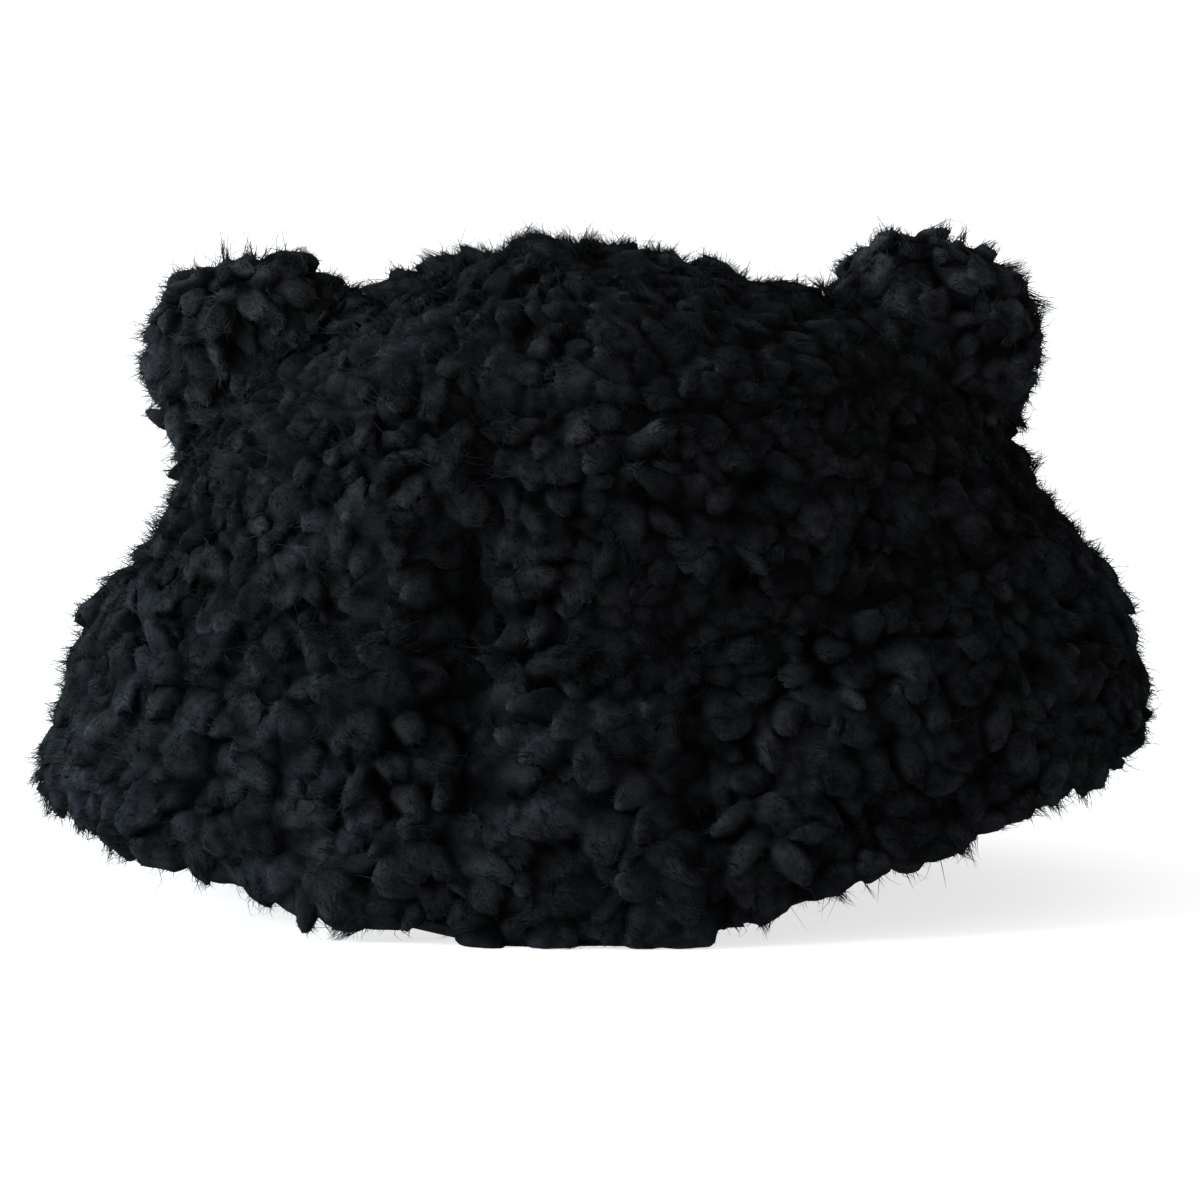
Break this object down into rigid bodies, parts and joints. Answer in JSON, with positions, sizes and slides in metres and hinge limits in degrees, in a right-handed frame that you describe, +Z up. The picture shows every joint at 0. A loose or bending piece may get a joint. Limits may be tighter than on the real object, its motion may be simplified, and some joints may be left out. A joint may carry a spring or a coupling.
{
  "type": "bear-ear bucket hat",
  "caption": "Soft bucket hat of curly black pile fleece: domed crown, sloping double-faced brim and padded round ears sewn to the crown's shoulders; worn on the head for warmth.",
  "frame": {"origin": "on the surface that the hat stands on, under the middle of the brim", "axes": "+X to the viewer's right with the hat's front facing -Y, +Z up"},
  "size_m": [0.2888, 0.2113, 0.173],
  "materials": {
    "crown_fleece": "black curly pile fleece in small rounded locks",
    "brim_fleece": "black curly pile fleece in small rounded locks",
    "under_fleece": "black curly pile fleece, flatter than on the outside",
    "ear_fleece": "black curly pile fleece in small rounded locks"
  },
  "bodies": {
    "root": {"crown_tip": "crown_fleece", "crown_side": "crown_fleece", "brim_top": "brim_fleece", "brim_under": "under_fleece", "ear_left": "ear_fleece", "ear_right": "ear_fleece"}
  },
  "joints": []
}
